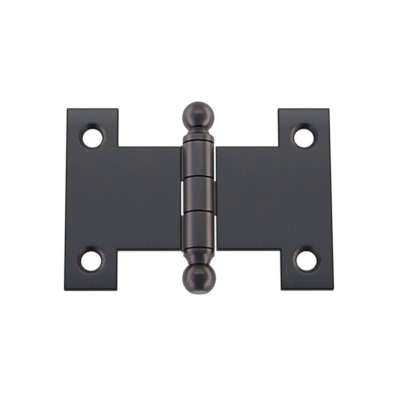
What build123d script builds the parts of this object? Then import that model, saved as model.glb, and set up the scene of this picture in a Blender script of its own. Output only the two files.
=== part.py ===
from build123d import *
import os
from math import acos, degrees, radians, sqrt, tan

# Parliament hinge with ball finials, laid open and flat, in millimetres.
# X runs across the leaves, Y along the pin, and Z out of the countersunk front faces.
# The origin is on the pin axis, half way along the barrel.

# Leaves
open_width = 108.0
leaf_height = 76.2
leaf_thickness = 2.6
ear_width = 21.4
neck_height = 43.5
face_setback = 0.4  # pin axis to front face, so the closed leaves stand twice this apart
ear_corner_radius = 0.5
ear_root_radius = 0.3
leaf_edge_radius = 0.25

# Screw holes, centred across the ear
screw_hole_diameter = 7.9
countersink_diameter = 11.4
countersink_angle = 82
hole_end_distance = 12.3  # hole centre to the ear's end

# Barrel
barrel_diameter = 12.7
knuckle_overhang = 0.45  # outer knuckle past the neck, at each end
centre_knuckle_length = 14.0
knuckle_gap = 0.4
barrel_clearance = 0.65  # barrel to the edge of the leaf that turns past it
knuckle_edge_radius = 0.3
front_foot_radius = 0.55
back_foot_radius = 0.8
foot_groove_radius = 0.15  # fine line where the face was milled up to the knuckle's foot

# Pin
pin_diameter = 6.35
running_clearance = 0.05  # on the radius
end_play = 0.2  # knuckle to finial, at each end
spigot_diameter = 5.0
spigot_length = 6.0
spigot_chamfer = 0.5
thread_clearance = 0.05  # on the radius
bore_runout = 1.0  # blind bore past the spigot's end
drill_point_angle = 118

# Finials: heights are measured along the pin, from the seat on its shoulder
collar_edge_radius = 0.2
top_collar_diameter = 12.9
top_collar_height = 2.1
top_shoulder_radius = 1.3
top_cone_foot_diameter = 10.2
top_cone_tip_diameter = 8.0
top_cone_height = 2.4
top_neck_diameter = 7.7
top_ball_diameter = 13.3
top_ball_height = 11.4  # seat to ball centre
bottom_collar_diameter = 12.6
bottom_collar_height = 1.9
bottom_scoop_height = 3.3
bottom_scoop_depth = 0.3
bottom_scoop_tip_diameter = 8.7
bottom_neck_diameter = 8.4
bottom_ball_diameter = 13.6
bottom_ball_height = 11.15  # seat to ball centre
bottom_flat_diameter = 6.6

# For picking edges and corners
near = 0.01
clear_of_barrel = 1.0

# Worked out from the sizes above
barrel_radius = barrel_diameter / 2
pin_radius = pin_diameter / 2
half_width = open_width / 2
plate_edge = barrel_radius + barrel_clearance
ear_root = half_width - ear_width
back_face = -face_setback - leaf_thickness
half_barrel = neck_height / 2 + knuckle_overhang
centre_half = centre_knuckle_length / 2
inner_face = centre_half + knuckle_gap
outer_knuckle_length = half_barrel - inner_face
outer_knuckle_middle = inner_face + outer_knuckle_length / 2
seat = half_barrel + end_play
hole_x = half_width - ear_width / 2
hole_y = leaf_height / 2 - hole_end_distance
bore_radius = spigot_diameter / 2 + thread_clearance
bore_depth = spigot_length + bore_runout
bore_tip = bore_depth + bore_radius / tan(radians(drill_point_angle / 2))
top_seat = Plane(origin=(0, seat, 0), x_dir=(1, 0, 0), z_dir=(0, 0, 1))
bottom_seat = Plane(origin=(0, -seat, 0), x_dir=(1, 0, 0), z_dir=(0, 0, -1))


def leaf_section(side):
    """The drawn section that a leaf is cut from: barrel, concave feet and plate."""
    with BuildSketch(Plane.XZ) as section:
        Circle(barrel_radius)
        with Locations((side * half_width / 2, (back_face - face_setback) / 2)):
            Rectangle(half_width, leaf_thickness)
        feet = section.vertices().filter_by(lambda v: 0 < side * v.X < barrel_radius).sort_by(Axis.Y)
        fillet(feet[-1], front_foot_radius)
        fillet(feet[0], back_foot_radius)
        with Locations((side * plate_edge, -face_setback)):
            Circle(foot_groove_radius, mode=Mode.SUBTRACT)
    return section.sketch


def leaf_outline(side, knuckles):
    """Outline of one leaf from the front; knuckles lists each one's (middle, length) along the pin."""
    with BuildSketch(Plane.XY) as outline:
        with Locations((side * (half_width - ear_width / 2), 0)):
            Rectangle(ear_width, leaf_height)
        with Locations((side * (ear_root + plate_edge) / 2, 0)):
            Rectangle(ear_root - plate_edge, neck_height)
        ends = outline.vertices().filter_by(lambda v: abs(abs(v.Y) - leaf_height / 2) < near)
        fillet(ends, ear_corner_radius)
        roots = outline.vertices().filter_by(
            lambda v: abs(abs(v.X) - ear_root) < near and abs(abs(v.Y) - neck_height / 2) < near
        )
        fillet(roots, ear_root_radius)
        for middle, length in knuckles:
            with Locations((side * (plate_edge - barrel_radius) / 2, middle)):
                Rectangle(plate_edge + barrel_radius, length)
    return outline.sketch


def on_leaf_edge(edge):
    """True for the plate's own outline on its front and back faces, clear of the knuckles."""
    box = edge.bounding_box()
    flat = box.size.Z < near
    on_face = abs(box.min.Z + face_setback) < near or abs(box.min.Z - back_face) < near
    reach = max(abs(box.min.X), abs(box.max.X))
    return flat and on_face and reach > plate_edge + clear_of_barrel


def on_barrel(edge):
    """True for a round edge of the barrel's own radius."""
    return edge.geom_type == GeomType.CIRCLE and abs(edge.radius - barrel_radius) < near


# Left leaf, with the two outer knuckles
with BuildPart() as left_leaf:
    extrude(leaf_section(-1), amount=leaf_height / 2, both=True)
    outer_knuckles = [
        (outer_knuckle_middle, outer_knuckle_length),
        (-outer_knuckle_middle, outer_knuckle_length),
    ]
    extrude(leaf_outline(-1, outer_knuckles), amount=barrel_diameter, both=True, mode=Mode.INTERSECT)
    fillet(left_leaf.edges().filter_by(on_leaf_edge), leaf_edge_radius)
    for end in (half_barrel, inner_face, -inner_face, -half_barrel):
        rims = left_leaf.edges().filter_by(on_barrel)
        fillet(rims.filter_by_position(Axis.Y, end - near, end + near), knuckle_edge_radius)
    with Locations(Plane.XZ):
        Hole(pin_radius + running_clearance)
    with Locations((-hole_x, hole_y, -face_setback), (-hole_x, -hole_y, -face_setback)):
        CounterSinkHole(
            screw_hole_diameter / 2,
            countersink_diameter / 2,
            depth=leaf_thickness,
            counter_sink_angle=countersink_angle,
        )

# Right leaf, with the centre knuckle
with BuildPart() as right_leaf:
    extrude(leaf_section(1), amount=leaf_height / 2, both=True)
    extrude(
        leaf_outline(1, [(0, centre_knuckle_length)]),
        amount=barrel_diameter,
        both=True,
        mode=Mode.INTERSECT,
    )
    fillet(right_leaf.edges().filter_by(on_leaf_edge), leaf_edge_radius)
    for end in (centre_half, -centre_half):
        rims = right_leaf.edges().filter_by(on_barrel)
        fillet(rims.filter_by_position(Axis.Y, end - near, end + near), knuckle_edge_radius)
    with Locations(Plane.XZ):
        Hole(pin_radius + running_clearance)
    with Locations((hole_x, hole_y, -face_setback), (hole_x, -hole_y, -face_setback)):
        CounterSinkHole(
            screw_hole_diameter / 2,
            countersink_diameter / 2,
            depth=leaf_thickness,
            counter_sink_angle=countersink_angle,
        )

# Pin, turned down at both ends to spigots for the finials
with BuildPart() as hinge_pin:
    with BuildSketch(Plane.XZ):
        Circle(pin_radius)
    extrude(amount=seat, both=True)
    with BuildSketch(Plane.XZ):
        Circle(spigot_diameter / 2)
    extrude(amount=seat + spigot_length, both=True)
    spigot_ends = hinge_pin.edges().filter_by(GeomType.CIRCLE).group_by(Axis.Y)
    chamfer(spigot_ends[0] + spigot_ends[-1], spigot_chamfer)

# Top finial: collar with a rounded shoulder, a cone, and a ball over a fine neck
top_collar = top_collar_diameter / 2
top_neck = top_neck_diameter / 2
top_ball = top_ball_diameter / 2
cone_start = top_collar_height + top_shoulder_radius
cone_end = cone_start + top_cone_height
top_neck_angle = degrees(acos(top_neck / top_ball))
with BuildPart() as top_finial:
    with BuildSketch(top_seat):
        with BuildLine():
            shoulder_centre = (top_collar - top_shoulder_radius, top_collar_height)
            side = Line((top_collar, 0), (top_collar, top_collar_height))
            shoulder = CenterArc(shoulder_centre, top_shoulder_radius, 0, 90)
            ball = CenterArc((0, top_ball_height), top_ball, -top_neck_angle, 90 + top_neck_angle)
            Polyline(
                shoulder @ 1,
                (top_cone_foot_diameter / 2, cone_start),
                (top_cone_tip_diameter / 2, cone_end),
                (top_neck, cone_end),
                ball @ 0,
            )
            Polyline(ball @ 1, (0, bore_tip), (bore_radius, bore_depth), (bore_radius, 0), side @ 0)
        make_face()
    revolve(axis=Axis.Y)
    rim = top_finial.edges().filter_by(GeomType.CIRCLE).group_by(Axis.Y)[0].sort_by(SortBy.RADIUS)[-1]
    fillet(rim, collar_edge_radius)

# Bottom finial: plain collar, a scooped taper, and a ball with its end turned flat
bottom_collar = bottom_collar_diameter / 2
bottom_neck = bottom_neck_diameter / 2
bottom_ball = bottom_ball_diameter / 2
bottom_flat = bottom_flat_diameter / 2
scoop_end = bottom_collar_height + bottom_scoop_height
bottom_neck_angle = degrees(acos(bottom_neck / bottom_ball))
flat_angle = degrees(acos(bottom_flat / bottom_ball))
with BuildPart() as bottom_finial:
    with BuildSketch(bottom_seat):
        with BuildLine():
            side = Line((bottom_collar, 0), (bottom_collar, bottom_collar_height))
            scoop = SagittaArc(side @ 1, (bottom_scoop_tip_diameter / 2, scoop_end), bottom_scoop_depth)
            ball = CenterArc(
                (0, bottom_ball_height), bottom_ball, -bottom_neck_angle, flat_angle + bottom_neck_angle
            )
            Polyline(scoop @ 1, (bottom_neck, scoop_end), ball @ 0)
            Polyline(
                ball @ 1,
                (0, bottom_ball_height + sqrt(bottom_ball**2 - bottom_flat**2)),
                (0, bore_tip),
                (bore_radius, bore_depth),
                (bore_radius, 0),
                side @ 0,
            )
        make_face()
    revolve(axis=Axis.Y)
    rim = bottom_finial.edges().filter_by(GeomType.CIRCLE).group_by(Axis.Y)[-1].sort_by(SortBy.RADIUS)[-1]
    fillet(rim, collar_edge_radius)

os.makedirs("parts", exist_ok=True)
left_leaf.part.label = "left_leaf"
export_step(left_leaf.part, "parts/left_leaf.step")
right_leaf.part.label = "right_leaf"
export_step(right_leaf.part, "parts/right_leaf.step")
hinge_pin.part.label = "hinge_pin"
export_step(hinge_pin.part, "parts/hinge_pin.step")
top_finial.part.label = "top_finial"
export_step(top_finial.part, "parts/top_finial.step")
bottom_finial.part.label = "bottom_finial"
export_step(bottom_finial.part, "parts/bottom_finial.step")
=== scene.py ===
"""Parliament hinge with ball finials: its finishes, turned pieces and studio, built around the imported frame.

The frame has its origin on the pin's axis, half way along the barrel. X runs across the open leaves,
Y along the pin and Z out of the countersunk faces. Sizes are named in millimetres, as on a drawing,
and are turned into metres where a mesh or a node needs them.

A pair of numbers that a finish eases between is given as where its effect begins and where it is full.
"""

import logging
import math
from dataclasses import dataclass, field
from enum import Enum

import bpy
from mathutils import Matrix, Vector


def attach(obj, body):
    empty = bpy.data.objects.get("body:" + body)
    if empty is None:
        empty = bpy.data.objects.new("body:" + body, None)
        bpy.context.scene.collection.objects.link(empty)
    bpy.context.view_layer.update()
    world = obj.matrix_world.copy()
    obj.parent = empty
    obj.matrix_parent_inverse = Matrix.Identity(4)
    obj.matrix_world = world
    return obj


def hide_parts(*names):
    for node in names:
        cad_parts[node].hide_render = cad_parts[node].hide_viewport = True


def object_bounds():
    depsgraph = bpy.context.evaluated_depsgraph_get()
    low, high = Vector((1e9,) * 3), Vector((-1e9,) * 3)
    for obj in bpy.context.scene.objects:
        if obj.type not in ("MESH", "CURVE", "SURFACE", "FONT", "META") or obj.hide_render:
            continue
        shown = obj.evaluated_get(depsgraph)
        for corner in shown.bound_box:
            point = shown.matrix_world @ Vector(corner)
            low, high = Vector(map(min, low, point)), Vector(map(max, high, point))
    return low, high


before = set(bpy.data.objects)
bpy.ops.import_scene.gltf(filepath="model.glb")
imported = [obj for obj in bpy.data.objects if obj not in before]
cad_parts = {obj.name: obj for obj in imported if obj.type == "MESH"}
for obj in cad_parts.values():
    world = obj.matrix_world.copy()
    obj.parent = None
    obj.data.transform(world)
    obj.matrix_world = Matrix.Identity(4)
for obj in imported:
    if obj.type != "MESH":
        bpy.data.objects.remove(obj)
cad_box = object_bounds()

MM = 0.001
Pair = tuple[float, float]
Triple = tuple[float, float, float]
Rgb = tuple[float, float, float]
Socket = bpy.types.NodeSocket
Axes = bpy.types.bpy_prop_collection
log = logging.getLogger("hinge")


class Slot(Enum):
    """Names for material slots of the turned pieces; the build lists each piece with one but does not use it.
    """

    FINIAL_BRONZE = "finial_bronze"
    PIN_STEEL = "pin_steel"


class Lay(Enum):
    """How a surface was worked, as the stretch of its fine marks along X, Y and Z, per millimetre."""

    DRAWN = (2.4, 0.12, 2.4)
    TURNED = (0.05, 2.2, 0.05)


@dataclass
class Bench:
    """Adds nodes to one tree and joins them.

    Attributes:
        tree: The node tree that is being built.
        place: For a finish, the point on the piece, in millimetres.
        axes: Its X, Y and Z.
    """

    tree: bpy.types.NodeTree
    place: Socket | None = None
    axes: Axes | None = None

    @classmethod
    def clear(cls, block: bpy.types.ID) -> "Bench":
        """Empties the node tree of a material, world or lamp.

        Args:
            block: The material, world or lamp.

        Returns:
            A bench for its tree.
        """
        block.use_nodes = True
        block.node_tree.nodes.clear()
        return cls(block.node_tree)

    def add(self, kind: str, inputs: dict | None = None, **settings: object) -> bpy.types.Node:
        """Adds one node.

        Args:
            kind: The node's type name.
            inputs: Values or sockets for its inputs, by input name or number.
            **settings: Properties of the node itself.

        Returns:
            The new node.
        """
        node = self.tree.nodes.new(kind)
        for name, value in settings.items():
            setattr(node, name, value)
        for key, value in (inputs or {}).items():
            if isinstance(value, bpy.types.NodeSocket):
                self.tree.links.new(value, node.inputs[key])
            else:
                node.inputs[key].default_value = value
        return node

    def math(self, operation: str, *values: object) -> Socket:
        """Adds a Math node on the given values or sockets and returns its result."""
        return self.add("ShaderNodeMath", dict(enumerate(values)), operation=operation).outputs[0]

    def split(self, vector: Socket) -> Axes:
        """Takes a vector apart and returns its X, Y and Z."""
        return self.add("ShaderNodeSeparateXYZ", {"Vector": vector}).outputs

    def gap(self, value: Socket, mark: float) -> Socket:
        """Returns how far a value is from a mark."""
        return self.math("ABSOLUTE", self.math("SUBTRACT", value, mark))

    def length(self, first: Socket, second: Socket) -> Socket:
        """Returns the length of a step in a plane."""
        square = self.math("MULTIPLY", first, first)
        return self.math("SQRT", self.math("MULTIPLY_ADD", second, second, square))

    def off(self, axis: str) -> Socket:
        """Returns how far the point is from the middle of the hinge along an axis."""
        return self.math("ABSOLUTE", self.axes[axis])

    def radius(self) -> Socket:
        """Returns how far the point is from the pin's axis."""
        return self.length(self.axes["X"], self.axes["Z"])

    def tone(self, colour: Socket, factor: Socket) -> Socket:
        """Lightens or darkens a colour by a factor."""
        sockets = {0: colour, "Scale": factor}
        return self.add("ShaderNodeVectorMath", sockets, operation="SCALE").outputs["Vector"]

    def ramp(self, value: Socket, start: float, end: float, low: object = 0.0, high: object = 1.0) -> Socket:
        """Eases a value from low, at start, to high, at end.

        Args:
            value: The socket to follow.
            start: Its value where the result is low.
            end: Its value where the result is high.
            low: The result at and before start.
            high: The result at and past end.

        Returns:
            The eased result.
        """
        sockets = {"Value": value, "From Min": start, "From Max": end, "To Min": low, "To Max": high}
        return self.add("ShaderNodeMapRange", sockets, interpolation_type="SMOOTHSTEP").outputs["Result"]

    def blend(self, share: Socket, first: object, second: object) -> Socket:
        """Mixes two colours.

        Args:
            share: How much of the second one shows, from 0 to 1.
            first: A colour, or a socket that gives one.
            second: The same.

        Returns:
            The mixed colour.
        """
        node = self.add("ShaderNodeMix", data_type="RGBA")
        for name, value in (("Factor_Float", share), ("A_Color", first), ("B_Color", second)):
            socket = next(s for s in node.inputs if s.identifier == name)
            if isinstance(value, bpy.types.NodeSocket):
                self.tree.links.new(value, socket)
            else:
                socket.default_value = (*value, 1.0)
        return next(s for s in node.outputs if s.identifier == "Result_Color")


@dataclass(frozen=True)
class BronzeFinish:
    """Dark oiled bronze: a patina that is cool where it lies thick and coppery where it is worn.

    Attributes:
        name: The material's name.
        patina: Colour where the patina is thick.
        thin_patina: Colour where it lies thinner, in soft patches.
        lay: How the surface under the patina was worked.
        bare: Colour of the bronze that shows along worn edges.
        edge_tint: Tint of the reflection at a glancing angle.
        roughness: Mean roughness.
        roughness_spread: How far the roughness wanders, up and down.
        patch_size_mm: Size of the soft patches.
        patch_noise: Noise where the patina is thick and where it is thin.
        glancing: Where the shine dulls towards the outline, as 1 less the cosine of the viewing angle.
        aslant: Where it looks rougher, on the same measure.
        glancing_roughness: How much rougher it looks there.
        worn_end_mm: Where a piece's outer end is worn bright, from the middle of the barrel.
        worn_end: Colour of that end.
        wear_radius_mm: Width of the worn line along an edge.
        wear_turn: Where a rounded edge is worn, as the cosine of how far it has turned.
        wear_scale: Breaks in the worn line, per millimetre.
        wear_noise: Noise where the line is worn least and where it is worn most.
        wear: How bare it is there, from 0 to 1.
        grain: How much the fine marks lighten and darken the colour.
        mark_noise: Noise where the marks are lowest and where they are highest.
        mark_depth_mm: Depth of the fine marks.
        seams_mm: Where seams run round the pin, from the middle of the barrel.
        shaded_creases_mm: Where turned corners get a thin line of painted shade.
        seam_shade: Colour of the painted shade in a seam, standing for the shadow in the gap between two
            pieces.
        seam_shade_mm: Where that painted shade lies, from the seam.
        crease_shade_mm: Where the painted shade lies, from a crease.
        rim_highlight: Colour of the painted highlight on the pieces just beside a seam, where their rounded
            ends catch the light.
        rim_mm: Where that painted highlight lies, from the seam.
        rim_highlight_share: How much of it shows.
    """

    name: str
    patina: Rgb
    thin_patina: Rgb
    lay: Lay = Lay.DRAWN
    bare: Rgb = (0.34, 0.2, 0.125)
    edge_tint: Rgb = (0.75, 0.71, 0.7)
    roughness: float = 0.3
    roughness_spread: float = 0.04
    patch_size_mm: float = 9.0
    patch_noise: Pair = (0.35, 0.68)
    glancing: Pair = (0.7, 0.9)
    aslant: Pair = (0.12, 0.35)
    glancing_roughness: float = 0.12
    worn_end_mm: Pair = (59.85, 60.0)
    worn_end: Rgb = (0.24, 0.24, 0.23)
    wear_radius_mm: float = 0.4
    wear_turn: Pair = (0.995, 0.86)
    wear_scale: float = 0.35
    wear_noise: Pair = (0.42, 0.68)
    wear: Pair = (0.15, 0.5)
    grain: float = 0.03
    mark_noise: Pair = (0.25, 0.75)
    mark_depth_mm: float = 0.0012
    seams_mm: tuple[float, ...] = (22.3,)
    shaded_creases_mm: tuple[float, ...] = ()
    seam_shade: Rgb = (0.018, 0.017, 0.017)
    seam_shade_mm: Pair = (0.6, 0.35)
    crease_shade_mm: Pair = (0.32, 0.1)
    rim_highlight: Rgb = (0.2, 0.18, 0.17)
    rim_mm: Pair = (1.2, 0.75)
    rim_highlight_share: float = 0.7

    def build(self) -> bpy.types.Material:
        """Builds the material.

        Returns:
            The material, which reads Object coordinates.
        """
        material = bpy.data.materials.new(self.name)
        bench = Bench.clear(material)
        source = bench.add("ShaderNodeTexCoord").outputs
        to_mm = {"Vector": source["Object"], "Scale": (1 / MM,) * 3}
        bench.place = bench.add("ShaderNodeMapping", to_mm).outputs["Vector"]
        bench.axes = bench.split(bench.place)
        marks = self.fine_marks(bench)
        worn = self.worn_edges(bench)
        colour = self.lay_patina(bench, source["Normal"])
        facing = bench.add("ShaderNodeLayerWeight", {"Blend": 0.5}).outputs["Facing"]
        tone = bench.ramp(marks, *self.mark_noise, 1 - self.grain, 1 + self.grain)
        spread = self.roughness_spread
        rough = bench.ramp(marks, *self.mark_noise, self.roughness - spread, self.roughness + spread)
        rough = bench.math("ADD", rough, bench.ramp(facing, *self.aslant, 0.0, self.glancing_roughness))
        rough = bench.math("SUBTRACT", rough, self.polish(bench))
        depth = bench.math("MULTIPLY_ADD", marks, self.mark_depth_mm, self.form(bench))
        bump = bench.add("ShaderNodeBump", {"Height": depth, "Strength": 1.0, "Distance": MM})
        surface = bench.add(
            "ShaderNodeBsdfPrincipled",
            {
                "Base Color": bench.blend(worn, bench.tone(colour, tone), self.bare),
                "Metallic": bench.ramp(facing, *self.glancing, 1.0, 0.0),
                "Roughness": rough,
                "Specular IOR Level": 0.0,
                "Specular Tint": (*self.edge_tint, 1.0),
                "Normal": bump.outputs["Normal"],
            },
        )
        bench.add("ShaderNodeOutputMaterial", {"Surface": surface.outputs["BSDF"]})
        return material

    def noise(self, bench: Bench, place: Socket, scale: float, detail: float = 3.0) -> Socket:
        """Adds a noise texture and returns its value, from 0 to 1."""
        settings = {"Vector": place, "Scale": scale, "Detail": detail, "Roughness": 0.55}
        return bench.add("ShaderNodeTexNoise", settings).outputs["Fac"]

    def fine_marks(self, bench: Bench) -> Socket:
        """Returns the height of the fine marks that drawing or turning left, from 0 to 1."""
        along = bench.add("ShaderNodeMapping", {"Vector": bench.place, "Scale": self.lay.value})
        return self.noise(bench, along.outputs["Vector"], scale=1.0, detail=4.0)

    def worn_edges(self, bench: Bench) -> Socket:
        """Finds the edges, from where a rounded edge leaves the true surface.

        Args:
            bench: Where the nodes are added.

        Returns:
            How far the patina is worn off there, from 0 to 1.
        """
        rounded = bench.add("ShaderNodeBevel", {"Radius": self.wear_radius_mm * MM}, samples=6)
        true = bench.add("ShaderNodeNewGeometry").outputs["True Normal"]
        sockets = {0: rounded.outputs["Normal"], 1: true}
        agreement = bench.add("ShaderNodeVectorMath", sockets, operation="DOT_PRODUCT").outputs["Value"]
        breaks = self.noise(bench, bench.place, self.wear_scale, detail=5.0)
        broken = bench.ramp(breaks, *self.wear_noise, *self.wear)
        return bench.math("MULTIPLY", bench.ramp(agreement, *self.wear_turn), broken)

    def lay_patina(self, bench: Bench, normal: Socket) -> Socket:
        """Colours the piece.

        Args:
            bench: Where the nodes are added.
            normal: The direction that the surface faces there; not used here.

        Returns:
            The patina's colour, before wear along the edges.
        """
        return self.line_seams(bench, self.mottle(bench))

    def mottle(self, bench: Bench) -> Socket:
        """Returns the patina's colour in soft patches."""
        patches = bench.ramp(self.noise(bench, bench.place, 1 / self.patch_size_mm), *self.patch_noise)
        return bench.blend(patches, self.patina, self.thin_patina)

    def line_seams(self, bench: Bench, colour: Socket) -> Socket:
        """Adds the painted highlight beside each seam, the painted shade in it and the worn end to a colour.

        Args:
            bench: Where the nodes are added.
            colour: The colour without them.

        Returns:
            The colour with them.
        """
        along = bench.off("Y")
        for seam in self.seams_mm:
            off_seam = bench.gap(along, seam)
            # painted highlight: the rounded end beside each seam is lightened as if it caught the light
            rim = bench.ramp(off_seam, *self.rim_mm, 0.0, self.rim_highlight_share)
            colour = bench.blend(rim, colour, self.rim_highlight)
            # painted shade: the seam is darkened where its gap lies in shadow
            colour = bench.blend(bench.ramp(off_seam, *self.seam_shade_mm), colour, self.seam_shade)
        # painted shade: a thin dark line in each turned crease
        for crease in self.shaded_creases_mm:
            colour = bench.blend(bench.ramp(bench.gap(along, crease), *self.crease_shade_mm), colour, self.seam_shade)
        return bench.blend(bench.ramp(along, *self.worn_end_mm), colour, self.worn_end)

    def polish(self, bench: Bench) -> Socket | float:
        """Returns how much less rough a part of the surface is: nothing on a plain finish."""
        return 0.0

    def form(self, bench: Bench) -> Socket | float:
        """Returns the height of the surface's own soft form, in millimetres: none on a plain finish."""
        return 0.0


@dataclass(frozen=True)
class TurnedBronze(BronzeFinish):
    """Bronze on a turned finial, with finer marks, smaller patches and more shine than on a leaf."""

    lay: Lay = Lay.TURNED
    roughness: float = 0.2
    roughness_spread: float = 0.03
    patch_size_mm: float = 2.4
    mark_depth_mm: float = 0.0003


@dataclass(frozen=True)
class LeafBronze(BronzeFinish):
    """Bronze on a leaf: warmer on the barrel, with painted shade along its edges, and rolled off by polishing.

    Attributes:
        barrel: Colour on the round knuckles, where the patina is thick.
        thin_barrel: Colour on them where it is thin.
        streak_scale: Streaks on the knuckles, per millimetre.
        streak_noise: Noise where their patina is thick and where it is thin.
        barrel_mm: Where the barrel is, as a radius.
        barrel_polish: How much less rough the knuckles are than the plates.
        flank_highlight: Colour low down on the knuckles' left, a painted highlight where the left side light
            reflects in them.
        flank_highlight_mm: Where that begins, is full, begins to end and ends, from the pin's axis.
        slot_shade_mm: Where the painted shade on a knuckle's slot side is, from the pin's axis.
        edge_shade: Colour of the painted shade on the leaf's edges, on a knuckle's slot side and in the bores
            of the screw holes.
        shaded_sides: Where an edge gets that painted shade, as how far its surface still faces up.
        plate_mm: Where a leaf can have painted shade on its edges, as a radius.
        edge_line_mm: Where the painted dark line along the outline is, from the edge.
        foot_mm: Radius of the fine dark line at a knuckle's foot, painted shade in the crease where the
            knuckle meets the plate.
        foot_shade_line: Colour of that painted shade.
        foot_shade_line_mm: Where that lies, from the line.
        foot_shade_mm: Where a soft shade beside it lies.
        foot_shade: How much of that shows.
        foot_clear_mm: Where edges can be worn, from the line.
        sink_shade: Colour of the painted shade in the countersinks.
        sink_mm: Where it lies, as a radius.
        sink_clear_mm: Where edges can be worn round a countersink.
        bore_shade_mm: Where the painted shade at the bore's edge lies.
        sink_highlight: Colour of a painted highlight on a countersink's side towards the barrel, where its
            wall reflects the side light.
        sink_highlight_mm: Where that lies, as a radius.
        sink_highlight_side: Where it lies round the hole, as a cosine from straight outwards.
        sink_highlight_share: How much of it shows.
        half_width_mm: Pin axis to the leaf's outer edge.
        half_height_mm: Half the ear's height.
        ear_root_mm: Pin axis to the ear's inner edge.
        half_neck_mm: Half the height of the neck between ear and barrel.
        hole_mm: Place of a screw hole, from the pin axis and from the middle of the leaf.
        sink_radius_mm: Radius of a countersink at the face.
        lean: How light the plate's colour is from the first height of lean_mm to the second.
        lean_mm: Those heights, from the middle of the leaf.
        top_band: Heights where a lighter band at the top begins and is full, and its tone.
        bottom_band: The same for a darker band at the bottom.
        roll_mm: Width and drop of the soft roll-off along the edges.
        sink_roll_mm: Width and drop of the roll-off round a countersink.
    """

    barrel: Rgb = (0.115, 0.117, 0.124)
    thin_barrel: Rgb = (0.136, 0.121, 0.12)
    streak_scale: float = 0.3
    streak_noise: Pair = (0.4, 0.62)
    barrel_mm: Pair = (6.75, 6.45)
    barrel_polish: float = 0.07
    flank_highlight: Rgb = (0.21, 0.18, 0.178)
    flank_highlight_mm: tuple[float, float, float, float] = (4.7, 5.6, 5.9, 6.3)
    slot_shade_mm: Pair = (5.95, 6.25)
    edge_shade: Rgb = (0.022, 0.021, 0.022)
    shaded_sides: Pair = (0.55, 0.25)
    plate_mm: Pair = (7.6, 8.2)
    edge_line_mm: Pair = (0.85, 0.42)
    foot_mm: float = 7.2
    foot_shade_line: Rgb = (0.03, 0.03, 0.032)
    foot_shade_line_mm: Pair = (0.36, 0.2)
    foot_shade_mm: Pair = (0.7, 0.35)
    foot_shade: float = 0.4
    foot_clear_mm: Pair = (0.5, 0.75)
    sink_shade: Rgb = (0.048, 0.048, 0.06)
    sink_mm: Pair = (5.75, 5.5)
    sink_clear_mm: Pair = (5.9, 6.3)
    bore_shade_mm: Pair = (4.65, 4.3)
    sink_highlight: Rgb = (0.27, 0.24, 0.22)
    sink_highlight_mm: Pair = (4.45, 4.85)
    sink_highlight_side: Pair = (-0.5, -0.95)
    sink_highlight_share: float = 0.7
    half_width_mm: float = 54.0
    half_height_mm: float = 38.1
    ear_root_mm: float = 32.6
    half_neck_mm: float = 21.75
    hole_mm: Pair = (43.3, 25.8)
    sink_radius_mm: float = 5.7
    lean: Pair = (0.84, 0.99)
    lean_mm: Pair = (10.0, -27.0)
    top_band: Triple = (28.5, 36.0, 1.3)
    bottom_band: Triple = (-30.0, -37.0, 0.85)
    roll_mm: Pair = (1.6, 0.065)
    sink_roll_mm: Pair = (0.4, 0.055)

    def lay_patina(self, bench: Bench, normal: Socket) -> Socket:
        """Colours a leaf: its plate, then its barrel, the painted shade on its edges and its countersinks.

        Args:
            bench: Where the nodes are added.
            normal: The direction that the surface faces there.

        Returns:
            The patina's colour, before wear along the edges.
        """
        plate = self.colour_plate(bench)
        round_part = self.colour_barrel(bench)
        radius = bench.radius()
        whole = bench.blend(bench.ramp(radius, *self.barrel_mm), plate, round_part)
        # painted shade in the crease at a knuckle's foot: a soft shade and a fine dark line
        off_foot = bench.gap(radius, self.foot_mm)
        shade = bench.ramp(off_foot, *self.foot_shade_mm, 0.0, self.foot_shade)
        lined = bench.blend(shade, whole, self.foot_shade_line)
        lined = bench.blend(bench.ramp(off_foot, *self.foot_shade_line_mm), lined, self.foot_shade_line)
        upright = bench.math("ABSOLUTE", bench.split(normal)["Z"])
        # painted shade on the edges that turn away from up and along the outline
        shaded_sides = bench.math("MAXIMUM", bench.ramp(upright, *self.shaded_sides), self.outline_shade(bench))
        shaded_sides = bench.math("MULTIPLY", shaded_sides, bench.ramp(radius, *self.plate_mm))
        return self.colour_sink(bench, bench.blend(shaded_sides, lined, self.edge_shade))

    def colour_plate(self, bench: Bench) -> Socket:
        """Colours the plate, in patches and with its tone from top to bottom.

        Args:
            bench: Where the nodes are added.

        Returns:
            The colour.
        """
        lean = bench.ramp(bench.axes["Y"], *self.lean_mm, *self.lean)
        for begin, full, tone in (self.top_band, self.bottom_band):
            lean = bench.math("MULTIPLY", lean, bench.ramp(bench.axes["Y"], begin, full, 1.0, tone))
        return bench.tone(self.mottle(bench), lean)

    def colour_barrel(self, bench: Bench) -> Socket:
        """Colours the knuckles, with their streaks, a painted highlight on the left flank, seams and painted
        shade on the slot side.

        Args:
            bench: Where the nodes are added.

        Returns:
            The colour.
        """
        streaks = bench.ramp(self.noise(bench, bench.place, self.streak_scale), *self.streak_noise)
        colour = bench.blend(streaks, self.barrel, self.thin_barrel)
        # painted highlight: the knuckles' left flank is lightened where the side light reflects
        begin, full, fade, foot = self.flank_highlight_mm
        on_left = bench.ramp(bench.axes["X"], -begin, -full)
        flank = bench.math("MULTIPLY", on_left, bench.ramp(bench.off("X"), foot, fade))
        colour = self.line_seams(bench, bench.blend(flank, colour, self.flank_highlight))
        # painted shade on the knuckle's side that faces the slot
        return bench.blend(self.slot_shade(bench), colour, self.edge_shade)

    def slot_shade(self, bench: Bench) -> Socket:
        """Returns 1 on the thin line of a knuckle that faces the slot beside the other leaf, where painted
        shade darkens it.
        """
        side = bench.math("SIGN", bench.math("SUBTRACT", bench.off("Y"), self.seams_mm[-1]))
        return bench.ramp(bench.math("MULTIPLY", side, bench.axes["X"]), *self.slot_shade_mm)

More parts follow.
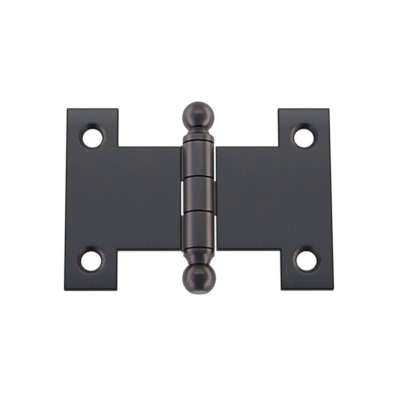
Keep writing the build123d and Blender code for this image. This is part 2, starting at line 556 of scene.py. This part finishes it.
    def outline_shade(self, bench: Bench) -> Socket:
        """Returns how much painted shade darkens the leaf along its outline, from 0 to 1."""
        edge, end, notch = self.from_outline(bench)
        return bench.ramp(bench.math("MINIMUM", bench.math("MINIMUM", edge, end), notch), *self.edge_line_mm)

    def colour_sink(self, bench: Bench, colour: Socket) -> Socket:
        """Adds the countersinks to a colour: painted shade, with a painted highlight on the side towards the
        barrel.

        Args:
            bench: Where the nodes are added.
            colour: The leaf's colour without them.

        Returns:
            The colour with them.
        """
        across, radius = self.from_hole(bench)
        # painted highlight on the countersink's side towards the barrel, painted shade in the rest of it and
        # at the bore
        inward = bench.ramp(bench.math("DIVIDE", across, radius), *self.sink_highlight_side, 0.0, self.sink_highlight_share)
        sink_highlight = bench.math("MULTIPLY", bench.ramp(radius, *self.sink_highlight_mm), inward)
        wall = bench.blend(sink_highlight, self.sink_shade, self.sink_highlight)
        sink = bench.blend(bench.ramp(radius, *self.bore_shade_mm), wall, self.edge_shade)
        return bench.blend(bench.ramp(radius, *self.sink_mm), colour, sink)

    def worn_edges(self, bench: Bench) -> Socket:
        """Keeps the wear off the corner of a foot and off the countersinks.

        Args:
            bench: Where the nodes are added.

        Returns:
            How far the patina is worn off there, from 0 to 1.
        """
        off_foot = bench.gap(bench.radius(), self.foot_mm)
        off_sink = bench.ramp(self.from_hole(bench)[1], *self.sink_clear_mm)
        clear = bench.math("MULTIPLY", bench.ramp(off_foot, *self.foot_clear_mm), off_sink)
        return bench.math("MULTIPLY", super().worn_edges(bench), clear)

    def polish(self, bench: Bench) -> Socket:
        """Returns how much less rough the surface is on the barrel."""
        return bench.ramp(bench.radius(), *self.barrel_mm, 0.0, self.barrel_polish)

    def form(self, bench: Bench) -> Socket:
        """Rolls the face off towards the edges and round the countersinks, as polishing does.

        Args:
            bench: Where the nodes are added.

        Returns:
            The height of the face, in millimetres.
        """
        rolls = [self.roll(bench, distance, *self.roll_mm) for distance in self.from_outline(bench)]
        off_sink = bench.math("SUBTRACT", self.from_hole(bench)[1], self.sink_radius_mm)
        rolls.append(self.roll(bench, bench.math("MAXIMUM", off_sink, 0.0), *self.sink_roll_mm))
        height = rolls[0]
        for roll in rolls[1:]:
            height = bench.math("ADD", height, roll)
        return height

    def from_outline(self, bench: Bench) -> tuple[Socket, Socket, Socket]:
        """Measures how far a point is from the leaf's outline.

        Args:
            bench: Where the nodes are added.

        Returns:
            The distances to the leaf's outer edge, to the ear's end and to the notch.
        """
        out, up = bench.off("X"), bench.off("Y")
        to_root = bench.math("MAXIMUM", bench.math("SUBTRACT", out, self.ear_root_mm), 0.0)
        to_neck = bench.math("MAXIMUM", bench.math("SUBTRACT", self.half_neck_mm, up), 0.0)
        return (
            bench.math("SUBTRACT", self.half_width_mm, out),
            bench.math("SUBTRACT", self.half_height_mm, up),
            bench.length(to_root, to_neck),
        )

    def from_hole(self, bench: Bench) -> tuple[Socket, Socket]:
        """Measures how far a point is from the axis of the nearest screw hole.

        Args:
            bench: Where the nodes are added.

        Returns:
            The distance outwards across the leaf, and the whole distance.
        """
        out, up = self.hole_mm
        across = bench.math("SUBTRACT", bench.off("X"), out)
        along = bench.math("SUBTRACT", bench.off("Y"), up)
        return across, bench.length(across, along)

    def roll(self, bench: Bench, distance: Socket, width: float, drop: float) -> Socket:
        """Returns the height that a roll-off takes away at a distance from its edge, as a negative number."""
        fade = bench.math("EXPONENT", bench.math("MULTIPLY", distance, -1 / width))
        return bench.math("MULTIPLY", fade, -drop)


@dataclass(frozen=True)
class SteelFinish:
    """Plain turned steel with the lathe's fine rings.

    Attributes:
        name: The material's name.
        colour: The steel's colour, kept dark as painted shade so that the pin stays dark where it shows in the
            seams.
        oiled: Its colour where old oil has dried on it.
        oil_noise: Noise where there is no oil and where it is thick.
        stain_scale: Stains of oil, per metre.
        roughness: The least and the greatest roughness.
        ring_noise: Noise where they are.
        ring_stretch: Stretch of the rings along X, Y and Z, per metre.
        ring_depth_mm: Depth of the rings.
    """

    name: str
    # painted shade: the steel is kept dark so the pin stays dark in the seams
    colour: Rgb = (0.2, 0.19, 0.18)
    oiled: Rgb = (0.06, 0.05, 0.045)
    oil_noise: Pair = (0.3, 0.6)
    stain_scale: float = 180.0
    roughness: Pair = (0.26, 0.42)
    ring_noise: Pair = (0.3, 0.7)
    ring_stretch: Triple = (30.0, 6000.0, 30.0)
    ring_depth_mm: float = 0.004

    def build(self) -> bpy.types.Material:
        """Builds the material.

        Returns:
            The material, which reads Object coordinates.
        """
        material = bpy.data.materials.new(self.name)
        bench = Bench.clear(material)
        place = bench.add("ShaderNodeTexCoord").outputs["Object"]
        rings_at = bench.add("ShaderNodeMapping", {"Vector": place, "Scale": self.ring_stretch})
        noise = {"Vector": rings_at.outputs["Vector"], "Scale": 1.0}
        rings = bench.add("ShaderNodeTexNoise", noise).outputs["Fac"]
        noise = {"Vector": place, "Scale": self.stain_scale, "Detail": 4.0}
        oil = bench.ramp(bench.add("ShaderNodeTexNoise", noise).outputs["Fac"], *self.oil_noise)
        depth = {"Height": rings, "Strength": 0.4, "Distance": self.ring_depth_mm * MM}
        surface = bench.add(
            "ShaderNodeBsdfPrincipled",
            {
                "Base Color": bench.blend(oil, self.colour, self.oiled),
                "Metallic": 1.0,
                "Roughness": bench.ramp(rings, *self.ring_noise, *self.roughness),
                "Normal": bench.add("ShaderNodeBump", depth).outputs["Normal"],
            },
        )
        bench.add("ShaderNodeOutputMaterial", {"Surface": surface.outputs["BSDF"]})
        return material


@dataclass
class Profile:
    """The outline that a turned piece is revolved from.

    Attributes:
        points: For each point its radius and its height, in millimetres, and 1 on a thread or 0 elsewhere.
    """

    points: list[Triple] = field(default_factory=list)

    def corner(self, radius: float, height: float, threaded: float = 0.0) -> "Profile":
        """Adds one point and returns the profile."""
        self.points.append((radius, height, threaded))
        return self

    def arc(self, centre: Pair, radius: float, start: float, end: float, step: float = 3.0) -> "Profile":
        """Adds a round stretch.

        Args:
            centre: The arc's centre.
            radius: Its radius.
            start: Where it starts, in degrees from the outward direction towards the finial's end.
            end: Where it ends.
            step: The largest angle between two points, in degrees.

        Returns:
            The profile.
        """
        count = max(2, math.ceil(abs(end - start) / step))
        for i in range(count + 1):
            angle = math.radians(start + (end - start) * i / count)
            self.corner(centre[0] + radius * math.cos(angle), centre[1] + radius * math.sin(angle))
        return self

    def thread(self, radius: float, start: float, end: float, row: float) -> "Profile":
        """Adds a threaded stretch.

        Args:
            radius: Its radius, the same all along.
            start: Height where it starts.
            end: Height where it ends.
            row: Distance between two points.

        Returns:
            The profile.
        """
        count = round(abs(end - start) / row)
        for i in range(count + 1):
            self.corner(radius, start + (end - start) * i / count, 1.0 if 0 < i < count else 0.0)
        return self

    def turned_over(self) -> "Profile":
        """Returns the same outline standing on its head, which faces outwards again."""
        return Profile([(radius, -height, thread) for radius, height, thread in reversed(self.points)])


@dataclass
class Turning:
    """A Geometry Nodes tree that revolves a profile about the pin and cuts its threads.

    Attributes:
        sharp_angle: Edges that turn by more than this stay crisp, in degrees.
        merge_mm: Points closer than this are one, as on the axis and at the seam.
        thread_pitch_mm: The thread's pitch.
        thread_depth_mm: The thread's depth.
        segments: Steps in a full turn.
        tree: The tree, once it is built.
    """

    sharp_angle: float = 28.0
    merge_mm: float = 0.0005
    thread_pitch_mm: float = 0.8
    thread_depth_mm: float = 0.42
    segments: int = 96
    tree: bpy.types.NodeTree | None = None

    def build(self) -> None:
        """Builds the tree, with its sizes as named inputs."""
        tree = bpy.data.node_groups.new("turned_piece", "GeometryNodeTree")
        sockets = {
            "Geometry": "Geometry",
            "Segments": "Int",
            "Thread Pitch": "Float",
            "Thread Depth": "Float",
            "Finish": "Material",
        }
        for name, kind in sockets.items():
            tree.interface.new_socket(name, in_out="INPUT", socket_type="NodeSocket" + kind)
        tree.interface.new_socket("Geometry", in_out="OUTPUT", socket_type="NodeSocketGeometry")
        bench = Bench(tree)
        given = bench.add("NodeGroupInput").outputs
        profile = given["Geometry"]
        size = bench.add("GeometryNodeAttributeDomainSize", {"Geometry": profile})
        rows = size.outputs["Point Count"]
        columns = bench.math("ADD", given["Segments"], 1.0)
        grid = bench.add("GeometryNodeMeshGrid", {"Vertices X": columns, "Vertices Y": rows})
        index = bench.add("GeometryNodeInputIndex").outputs["Index"]
        column = bench.math("FLOOR", bench.math("DIVIDE", index, rows))
        row = bench.math("SUBTRACT", index, bench.math("MULTIPLY", column, rows))
        turn = bench.math("DIVIDE", column, given["Segments"])
        angle = bench.math("MULTIPLY", turn, math.tau)
        position = bench.add("GeometryNodeInputPosition").outputs["Position"]
        parts = bench.split(self.sample(bench, profile, row, position, "FLOAT_VECTOR"))
        named = bench.add("GeometryNodeInputNamedAttribute", {"Name": "threaded"}, data_type="FLOAT")
        flag = self.sample(bench, profile, row, named.outputs["Attribute"], "FLOAT")
        wound = bench.math("SUBTRACT", bench.math("DIVIDE", parts["Y"], given["Thread Pitch"]), turn)
        ridge = bench.math("PINGPONG", wound, 0.5)
        cut = bench.math("MULTIPLY", bench.math("MULTIPLY", ridge, 2.0), given["Thread Depth"])
        radius = bench.math("SUBTRACT", parts["X"], bench.math("MULTIPLY", cut, flag))
        where = bench.add(
            "ShaderNodeCombineXYZ",
            {
                "X": bench.math("MULTIPLY", radius, bench.math("COSINE", angle)),
                "Y": parts["Y"],
                "Z": bench.math("MULTIPLY", radius, bench.math("SINE", angle)),
            },
        )
        sockets = {"Geometry": grid.outputs["Mesh"], "Position": where.outputs["Vector"]}
        placed = bench.add("GeometryNodeSetPosition", sockets).outputs["Geometry"]
        sockets = {"Geometry": placed, "Distance": self.merge_mm * MM}
        merged = bench.add("GeometryNodeMergeByDistance", sockets).outputs["Geometry"]
        turned = bench.add("GeometryNodeInputMeshEdgeAngle").outputs["Unsigned Angle"]
        crisp = bench.add("FunctionNodeCompare", {0: turned, 1: math.radians(self.sharp_angle)})
        sockets = {"Geometry": merged, "Selection": crisp.outputs["Result"], "Shade Smooth": False}
        soft = bench.add("GeometryNodeSetShadeSmooth", sockets, domain="EDGE").outputs["Geometry"]
        real = bench.add("GeometryNodeRealizeInstances", {"Geometry": soft}).outputs["Geometry"]
        dressed = bench.add("GeometryNodeSetMaterial", {"Geometry": real, "Material": given["Finish"]})
        bench.add("NodeGroupOutput", {"Geometry": dressed.outputs["Geometry"]})
        self.tree = tree

    def sample(self, bench: Bench, profile: Socket, row: Socket, value: Socket, kind: str) -> Socket:
        """Reads a value of the profile at one row."""
        sockets = {"Geometry": profile, "Value": value, "Index": row}
        return bench.add("GeometryNodeSampleIndex", sockets, data_type=kind, domain="POINT").outputs["Value"]

    def turn(self, name: str, profile: Profile, finish: bpy.types.Material) -> bpy.types.Object:
        """Revolves a profile into a plain mesh.

        Args:
            name: The piece's name.
            profile: Its outline.
            finish: Its material.

        Returns:
            The finished piece, at the origin.
        """
        outline = bpy.data.meshes.new(name + "_outline")
        corners = [(radius * MM, height * MM, 0.0) for radius, height, _ in profile.points]
        outline.from_pydata(corners, [(i, i + 1) for i in range(len(corners) - 1)], [])
        flags = outline.attributes.new("threaded", "FLOAT", "POINT")
        flags.data.foreach_set("value", [thread for _, _, thread in profile.points])
        piece = bpy.data.objects.new(name, outline)
        bpy.context.scene.collection.objects.link(piece)
        modifier = piece.modifiers.new("turned", "NODES")
        modifier.node_group = self.tree
        values = {
            "Segments": self.segments,
            "Thread Pitch": self.thread_pitch_mm * MM,
            "Thread Depth": self.thread_depth_mm * MM,
            "Finish": finish,
        }
        for item in self.tree.interface.items_tree:
            if item.in_out == "INPUT" and item.name in values:
                modifier[item.identifier] = values[item.name]
        bpy.context.view_layer.update()
        solid = piece.evaluated_get(bpy.context.evaluated_depsgraph_get())
        mesh = bpy.data.meshes.new_from_object(solid)
        piece.modifiers.remove(modifier)
        mesh.name = name
        piece.data = mesh
        bpy.data.meshes.remove(outline)
        return piece


@dataclass
class Leaves:
    """The two leaves, whose solids keep their own shape and get the finish of drawn bronze.

    Attributes:
        nodes: The CAD nodes of the leaves.
        finish: Their finish.
    """

    nodes: tuple[str, ...] = ("left_leaf", "right_leaf")
    finish: BronzeFinish = LeafBronze(
        name="drawn_bronze",
        patina=(0.114, 0.119, 0.127),
        thin_patina=(0.124, 0.123, 0.127),
        seams_mm=(22.3, 7.2),
    )

    def dress(self) -> None:
        """Gives both leaves their finish."""
        material = self.finish.build()
        for name in self.nodes:
            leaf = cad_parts[name]
            for place in leaf.material_slots:
                place.material = material
            log.info("%s: drawn bronze on its solid", name)


@dataclass
class Bore:
    """The blind threaded bore that a finial is screwed on by.

    Attributes:
        radius_mm: Radius to the bottom of the thread.
        depth_mm: Depth, to the start of the drill's point.
        tip_mm: Depth of the drill's point.
        row_mm: Distance between two points of the thread's outline.
        rim_mm: Rounding of the finial's collar at the seat.
    """

    radius_mm: float = 2.55
    depth_mm: float = 7.0
    tip_mm: float = 8.532
    row_mm: float = 0.1
    rim_mm: float = 0.2

    def outline(self, seat: float, collar: float) -> Profile:
        """Starts a finial's outline.

        Args:
            seat: Height of its seat.
            collar: Radius of its collar.

        Returns:
            The outline from the drill's point, out of the bore and round the collar's rim.
        """
        profile = Profile().corner(0.0, seat + self.tip_mm)
        profile.thread(self.radius_mm, seat + self.depth_mm, seat, self.row_mm)
        profile.corner(collar - self.rim_mm, seat)
        centre = (collar - self.rim_mm, seat + self.rim_mm)
        return profile.arc(centre, self.rim_mm, -90, 0, step=22.0)


@dataclass
class TopFinial:
    """Finial with a rounded shoulder, a cone and a full ball; sizes are radii and heights over the seat.

    Attributes:
        collar_mm: Radius and height of the plain collar.
        shoulder_mm: Rounding of the collar's shoulder.
        cone_mm: The cone's radius at its foot and at its tip, and its height.
        neck_mm: Radius of the fine neck under the ball.
        ball_mm: Radius of the ball, and the height of its centre.
    """

    collar_mm: Pair = (6.45, 2.1)
    shoulder_mm: float = 1.3
    cone_mm: Triple = (5.1, 4.0, 2.4)
    neck_mm: float = 3.85
    ball_mm: Pair = (6.65, 11.4)

    def outline(self, bore: Bore, seat: float) -> Profile:
        """Draws the finial.

        Args:
            bore: Its bore.
            seat: Height of its seat.

        Returns:
            Its outline, from its bore to its end.
        """
        collar, collar_height = self.collar_mm
        foot, tip, cone_height = self.cone_mm
        ball, ball_height = self.ball_mm
        cone_start = seat + collar_height + self.shoulder_mm
        neck_angle = math.degrees(math.acos(self.neck_mm / ball))
        profile = bore.outline(seat, collar)
        shoulder = (collar - self.shoulder_mm, seat + collar_height)
        profile.arc(shoulder, self.shoulder_mm, 0, 90, step=8.0)
        profile.corner(foot, cone_start).corner(tip, cone_start + cone_height)
        profile.corner(self.neck_mm, cone_start + cone_height)
        return profile.arc((0.0, seat + ball_height), ball, -neck_angle, 90)


@dataclass
class BottomFinial:
    """Finial with a scooped taper and a ball turned flat at its end; sizes as on the top finial.

    Attributes:
        collar_mm: Radius and height of the plain collar.
        scoop_mm: The taper's radius at its tip, its height and how deep it is scooped.
        neck_mm: Radius of the fine neck under the ball.
        ball_mm: Radius of the ball, and the height of its centre.
        flat_mm: Radius of the flat end.
    """

    collar_mm: Pair = (6.3, 1.9)
    scoop_mm: Triple = (4.35, 3.3, 0.3)
    neck_mm: float = 4.2
    ball_mm: Pair = (6.79, 11.15)
    flat_mm: float = 3.3

    def outline(self, bore: Bore, seat: float) -> Profile:
        """Draws the finial as if it stood up.

        Args:
            bore: Its bore.
            seat: Height of its seat.

        Returns:
            Its outline, from its bore to its end.
        """
        collar, collar_height = self.collar_mm
        tip, height, depth = self.scoop_mm
        ball, ball_height = self.ball_mm
        centre = seat + ball_height
        chord = math.hypot(collar - tip, height)
        sag_radius = (chord**2 / 4 + depth**2) / (2 * depth)
        half_turn = math.degrees(math.asin(chord / 2 / sag_radius))
        slope = math.degrees(math.atan2(height, tip - collar))
        out = math.radians(slope - 90)
        reach = sag_radius - depth
        middle = ((collar + tip) / 2, seat + collar_height + height / 2)
        scoop_centre = (middle[0] + reach * math.cos(out), middle[1] + reach * math.sin(out))
        facing = slope + 90
        neck_angle = math.degrees(math.acos(self.neck_mm / ball))
        flat_angle = math.degrees(math.acos(self.flat_mm / ball))
        profile = bore.outline(seat, collar)
        profile.arc(scoop_centre, sag_radius, facing + half_turn, facing - half_turn)
        profile.corner(self.neck_mm, seat + collar_height + height)
        profile.arc((0.0, centre), ball, -neck_angle, flat_angle)
        return profile.corner(0.0, centre + math.sqrt(ball**2 - self.flat_mm**2))


@dataclass
class PinAssembly:
    """The pin with its threaded spigots, and the two turned finials that are screwed onto it.

    Attributes:
        body: The body that all three ride on.
        seat_mm: Distance from the middle of the barrel to each finial's seat.
        pin_radius_mm: Radius of the pin's shank.
        spigot_mm: Outer radius of the thread on the spigots, and their length.
        chamfer_mm: Chamfer on the spigots' ends.
        bore: The finials' bores.
        top: The top finial.
        bottom: The bottom finial.
        top_bronze: The top finial's finish.
        bottom_bronze: The bottom finial's finish, darker than the top finial's and worn off its flat end.
        steel: The pin's finish.
    """

    body: str = "pin_assembly"
    seat_mm: float = 22.4
    pin_radius_mm: float = 3.175
    spigot_mm: Pair = (2.5, 6.0)
    chamfer_mm: float = 0.5
    bore: Bore = field(default_factory=Bore)
    top: TopFinial = field(default_factory=TopFinial)
    bottom: BottomFinial = field(default_factory=BottomFinial)
    top_bronze: BronzeFinish = TurnedBronze(
        name="turned_bronze",
        patina=(0.112, 0.114, 0.122),
        thin_patina=(0.152, 0.126, 0.124),
        shaded_creases_mm=(25.9,),
    )
    bottom_bronze: BronzeFinish = TurnedBronze(
        name="turned_bronze_dark",
        patina=(0.08, 0.082, 0.094),
        thin_patina=(0.125, 0.098, 0.1),
        roughness=0.115,
        worn_end_mm=(39.32, 39.47),
    )
    steel: SteelFinish = SteelFinish(name="turned_steel")

    def build(self, turning: Turning) -> None:
        """Builds the three turned pieces in place of their plain solids, riding with the pin.

        Args:
            turning: The tree that revolves them.
        """
        top = self.top.outline(self.bore, self.seat_mm)
        bottom = self.bottom.outline(self.bore, self.seat_mm).turned_over()
        for name, node, outline, finish, slot in (
            ("threaded_pin", "hinge_pin", self.pin(), self.steel, Slot.PIN_STEEL),
            ("top_ball_finial", "top_finial", top, self.top_bronze, Slot.FINIAL_BRONZE),
            ("bottom_ball_finial", "bottom_finial", bottom, self.bottom_bronze, Slot.FINIAL_BRONZE),
        ):
            piece = turning.turn(name, outline, finish.build())
            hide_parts(node)
            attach(piece, self.body)
            log.info("%s: %d faces, for %s", name, len(piece.data.polygons), node)

    def pin(self) -> Profile:
        """Draws the pin.

        Returns:
            Its outline, from its bottom end to its top end.
        """
        radius, length = self.spigot_mm
        end = self.seat_mm + length
        thread = end - self.chamfer_mm
        blunt = radius - self.chamfer_mm
        profile = Profile().corner(0.0, -end).corner(blunt, -end)
        profile.thread(radius, -thread, -self.seat_mm, self.bore.row_mm)
        profile.corner(self.pin_radius_mm, -self.seat_mm).corner(self.pin_radius_mm, self.seat_mm)
        profile.thread(radius, self.seat_mm, thread, self.bore.row_mm)
        return profile.corner(blunt, end).corner(0.0, end)


@dataclass(frozen=True)
class Lamp:
    """A rectangular lamp that hangs over the hinge.

    Attributes:
        name: Its name.
        angle_deg: Where it hangs, from straight up towards the top finial.
        distance_m: How far away it hangs.
        size_m: Its width along the leaves, and its depth.
        power_w: Its power.
    """

    name: str
    angle_deg: float
    distance_m: float
    size_m: Pair
    power_w: float

    def hang(self) -> bpy.types.Light:
        """Hangs the lamp so that it faces the hinge.

        Returns:
            The lamp.
        """
        lamp = bpy.data.lights.new(self.name, "AREA")
        lamp.shape = "RECTANGLE"
        lamp.size, lamp.size_y = self.size_m
        lamp.energy = self.power_w
        holder = bpy.data.objects.new(self.name, lamp)
        angle = math.radians(self.angle_deg)
        way = Vector((0.0, math.sin(angle), math.cos(angle)))
        turn = Matrix.Rotation(-angle, 4, "X")
        holder.matrix_world = Matrix.Translation(way * self.distance_m) @ turn
        holder.visible_camera = False
        bpy.context.scene.collection.objects.link(holder)
        return lamp


@dataclass(frozen=True)
class Wall:
    """One side of the room.

    Attributes:
        light: The bright wall low down.
        wash: What shows above it.
        fade: Height where the wash ends and where the bright wall begins, as a share of straight up.
    """

    light: Rgb
    wash: Rgb
    fade: Pair

    def colour(self, bench: Bench, height: Socket) -> Socket:
        """Returns the wall's colour at a height."""
        return bench.blend(bench.ramp(height, *self.fade), self.wash, self.light)


@dataclass
class Studio:
    """Plain pale floor, soft studio light and the camera.

    Attributes:
        floor_half_m: Half of the floor's side.
        floor_paper: Colour of the floor, as it lights the object.
        floor_white: How bright the floor shows to the camera and in reflections, before its shadows.
        floor_shade: How much of that brightness the object's shadow can take.
        floor_ior: Strength of the table's polish, as reflections show it.
        floor_roughness: Roughness of that polish.
        lens_mm: The camera's focal length.
        film_mm: Width of its film.
        clip_m: Nearest and farthest distance that it sees.
        distance_mm: From the camera to the point it aims at.
        tilt_deg: How far the view leans towards the top finial.
        yaw_deg: How far it leans to the right.
        roll_deg: How far the camera is turned about its own line of sight.
        aim_mm: The point that it aims at, on the plane of the pin.
        front_dark: Light from the camera's side of the room.
        overhead: Light from above.
        overhead_fade: Where that takes over, as a share of straight towards the top finial.
        far_grey: Light from behind the top finial.
        far_fade: Where that takes over.
        left: The left side of the room.
        right: The right side.
        middle: Where the left side gives way to the right one, as a share of straight to the right.
        side_fade: Where the sides take over from the rest, as a share of straight sideways.
        strip: The strip light.
        softbox: The softbox.
        soft_peak: What brings the softbox's middle to its full strength.
    """

    floor_half_m: float = 4.0
    floor_paper: float = 0.8
    floor_white: float = 0.955
    floor_shade: float = 0.14
    floor_ior: float = 1.7
    floor_roughness: float = 0.15
    lens_mm: float = 158.08
    film_mm: float = 36.0
    clip_m: Pair = (0.01, 20.0)
    distance_mm: float = 709.847
    tilt_deg: float = 15.1625
    yaw_deg: float = 0.9652
    roll_deg: float = -0.2999
    aim_mm: Triple = (0.5086, -1.1414, 0.0)
    front_dark: Rgb = (0.22, 0.25, 0.34)
    overhead: Rgb = (0.33, 0.34, 0.38)
    overhead_fade: Pair = (-0.12, 0.47)
    far_grey: Rgb = (0.48, 0.48, 0.5)
    far_fade: Pair = (0.55, 0.87)
    left: Wall = Wall(light=(2.15, 1.92, 1.95), wash=(0.62, 0.58, 0.9), fade=(0.75, 0.2))
    right: Wall = Wall(light=(3.0, 2.4, 2.15), wash=(0.42, 0.42, 0.46), fade=(0.62, 0.22))
    middle: Pair = (-0.1, 0.1)
    side_fade: Pair = (0.3, 0.78)
    strip: Lamp = Lamp("strip", angle_deg=24.0, distance_m=0.8, size_m=(0.82, 0.035), power_w=0.12)
    softbox: Lamp = Lamp("softbox", angle_deg=33.0, distance_m=0.45, size_m=(0.8, 0.4), power_w=0.55)
    soft_peak: float = 16.0

    def build(self) -> None:
        """Builds the floor, the light and the camera."""
        self.lay_floor()
        self.light_world()
        self.strip.hang()
        self.soften(self.softbox.hang())
        self.place_camera()

    def lay_floor(self) -> None:
        """Lays the floor under the object's lowest point."""
        half = self.floor_half_m
        height = cad_box[0][2]
        mesh = bpy.data.meshes.new("floor")
        corners = [(-half, -half, height), (half, -half, height), (half, half, height), (-half, half, height)]
        mesh.from_pydata(corners, [], [(0, 1, 2, 3)])
        mesh.materials.append(self.floor_material())
        floor = bpy.data.objects.new("floor", mesh)
        bpy.context.scene.collection.objects.link(floor)

    def floor_material(self) -> bpy.types.Material:
        """Builds the floor's material: paper to the object, and a white polished table to the eye.

        Returns:
            The material.
        """
        material = bpy.data.materials.new("pale_floor")
        bench = Bench.clear(material)
        path = bench.add("ShaderNodeLightPath").outputs
        seen = bench.math("MAXIMUM", path["Is Camera Ray"], path["Is Glossy Ray"])
        seen = bench.math("MAXIMUM", seen, path["Is Transmission Ray"])
        paper = bench.add("ShaderNodeBsdfDiffuse", {"Color": (self.floor_paper,) * 3 + (1.0,)})
        shade = bench.add("ShaderNodeBsdfDiffuse", {"Color": (self.floor_shade,) * 3 + (1.0,)})
        glow = bench.add("ShaderNodeEmission", {"Strength": self.floor_white})
        white = bench.add("ShaderNodeAddShader", {0: shade.outputs[0], 1: glow.outputs[0]})
        polish = bench.add("ShaderNodeBsdfGlossy", {"Roughness": self.floor_roughness})
        glancing = bench.add("ShaderNodeFresnel", {"IOR": self.floor_ior}).outputs[0]
        sheen = bench.math("MULTIPLY", path["Is Glossy Ray"], glancing)
        table = bench.add("ShaderNodeMixShader", {0: sheen, 1: white.outputs[0], 2: polish.outputs[0]})
        mixed = bench.add("ShaderNodeMixShader", {0: seen, 1: paper.outputs[0], 2: table.outputs[0]})
        bench.add("ShaderNodeOutputMaterial", {"Surface": mixed.outputs[0]})
        return material

    def light_world(self) -> None:
        """Lights the object softly: dark in front, grey behind, and bright low down on both sides."""
        world = bpy.data.worlds.new("studio")
        bench = Bench.clear(world)
        axes = bench.split(bench.add("ShaderNodeTexCoord").outputs["Generated"])
        over = bench.blend(bench.ramp(axes["Y"], *self.overhead_fade), self.front_dark, self.overhead)
        dome = bench.blend(bench.ramp(axes["Y"], *self.far_fade), over, self.far_grey)
        left, right = (wall.colour(bench, axes["Z"]) for wall in (self.left, self.right))
        side = bench.blend(bench.ramp(axes["X"], *self.middle), left, right)
        sideways = bench.ramp(bench.math("ABSOLUTE", axes["X"]), *self.side_fade)
        path = bench.add("ShaderNodeLightPath").outputs
        white = (1.0, 1.0, 1.0)
        shown = bench.blend(path["Is Camera Ray"], bench.blend(sideways, dome, side), white)
        glow = bench.add("ShaderNodeBackground", {"Color": shown, "Strength": 1.0})
        bench.add("ShaderNodeOutputWorld", {"Surface": glow.outputs[0]})
        bpy.context.scene.world = world

    def soften(self, lamp: bpy.types.Light) -> None:
        """Fades a lamp out towards its edges, as the cloth of a softbox does.

        Args:
            lamp: The lamp.
        """
        bench = Bench.clear(lamp)
        axes = bench.split(bench.add("ShaderNodeNewGeometry").outputs["Parametric"])
        strength = self.soft_peak
        for name in ("X", "Y"):
            rest = bench.math("SUBTRACT", 1.0, axes[name])
            strength = bench.math("MULTIPLY", bench.math("MULTIPLY", axes[name], rest), strength)
        glow = bench.add("ShaderNodeEmission", {"Strength": strength})
        bench.add("ShaderNodeOutputLight", {"Surface": glow.outputs[0]})

    def place_camera(self) -> None:
        """Places the camera, tilted towards the top finial and looking down on the open leaves."""
        tilt, yaw, roll = (math.radians(v) for v in (self.tilt_deg, self.yaw_deg, self.roll_deg))
        ahead = Vector((math.sin(yaw) * math.cos(tilt), math.sin(tilt), -math.cos(tilt) * math.cos(yaw)))
        ahead.normalize()
        right = ahead.cross(Vector((0.0, 1.0, 0.0))).normalized()
        up = right.cross(ahead)
        rolled_right = math.cos(roll) * right + math.sin(roll) * up
        rolled_up = math.cos(roll) * up - math.sin(roll) * right
        eye = (Vector(self.aim_mm) - ahead * self.distance_mm) * MM
        camera = bpy.data.cameras.new("camera")
        camera.lens = self.lens_mm
        camera.sensor_width = self.film_mm
        camera.clip_start, camera.clip_end = self.clip_m
        holder = bpy.data.objects.new("camera", camera)
        turn = Matrix((rolled_right, rolled_up, -ahead)).transposed().to_4x4()
        holder.matrix_world = Matrix.Translation(eye) @ turn
        bpy.context.scene.collection.objects.link(holder)
        bpy.context.scene.camera = holder


def main() -> None:
    """Builds the hinge's pieces and the studio, in order."""
    logging.basicConfig(level=logging.INFO, format="%(name)s: %(message)s")
    Leaves().dress()
    turning = Turning()
    turning.build()
    PinAssembly().build(turning)
    Studio().build()
    bpy.context.scene.view_settings.view_transform = "Standard"


if __name__ == "__main__":
    main()
